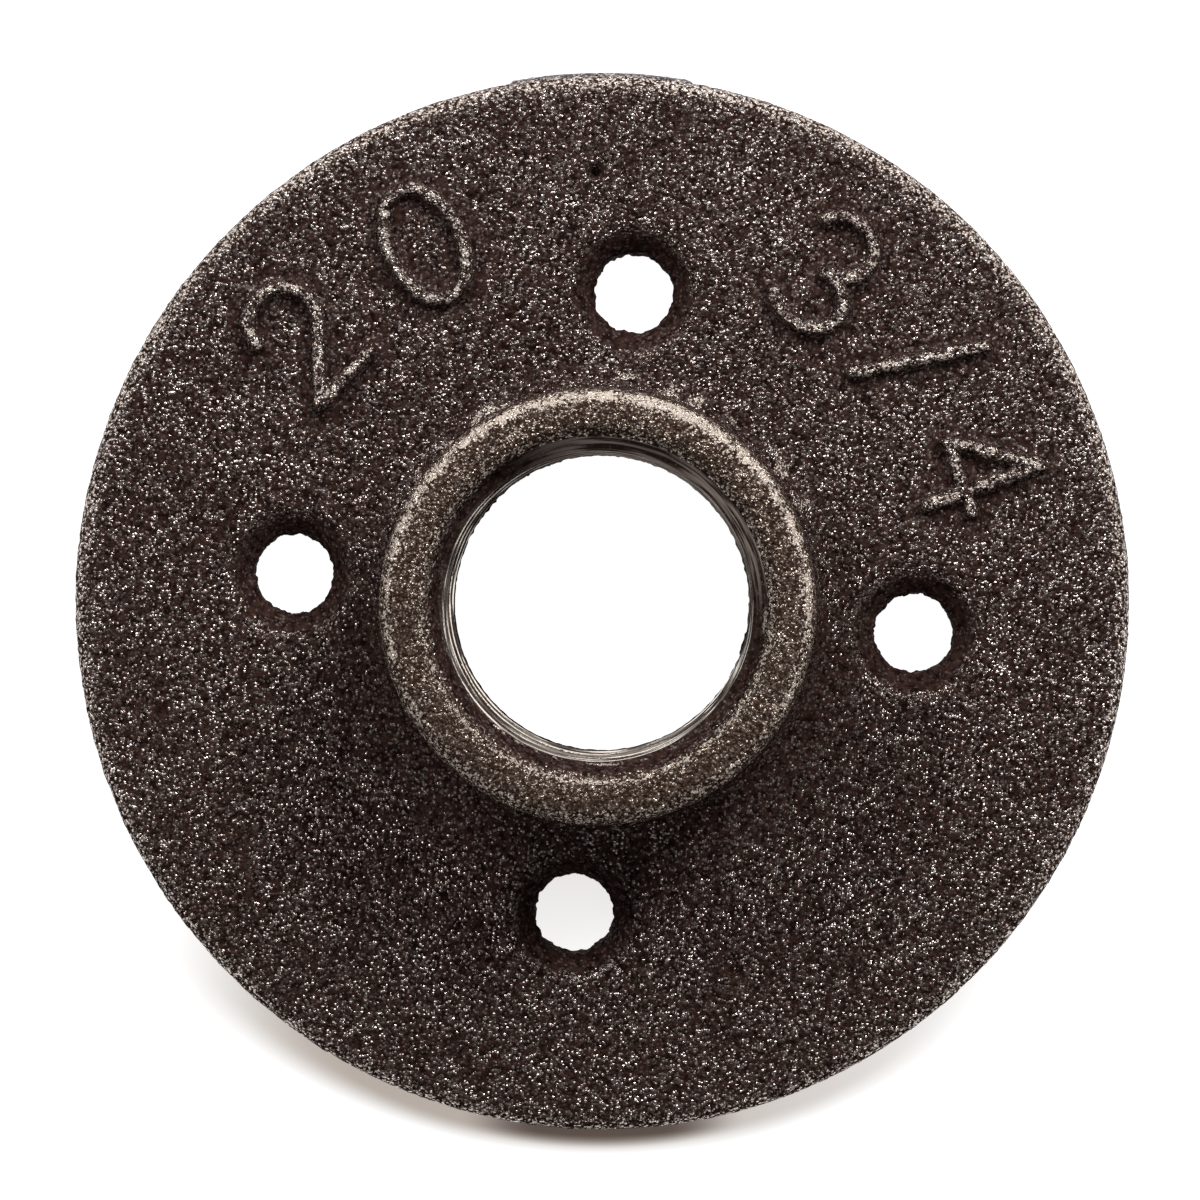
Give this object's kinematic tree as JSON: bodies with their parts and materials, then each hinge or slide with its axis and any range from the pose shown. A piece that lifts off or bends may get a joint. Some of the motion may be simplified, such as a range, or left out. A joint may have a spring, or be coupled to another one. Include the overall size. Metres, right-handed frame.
{
  "type": "threaded floor flange",
  "caption": "Round cast-iron floor flange with a raised, internally threaded pipe hub and countersunk screw holes, for fixing a pipe end to a floor or wall",
  "frame": {"origin": "centre of the flat back face, on the pipe's axis", "axes": "+Z along the pipe's axis, out of the back face towards the lip of the hub; +X and +Y each pass through a screw hole"},
  "size_m": [0.0848, 0.0848, 0.018],
  "materials": {
    "cast_iron": "rough sand-cast, dark brown-black"
  },
  "bodies": {
    "root": {"flange": "cast_iron"}
  },
  "joints": []
}
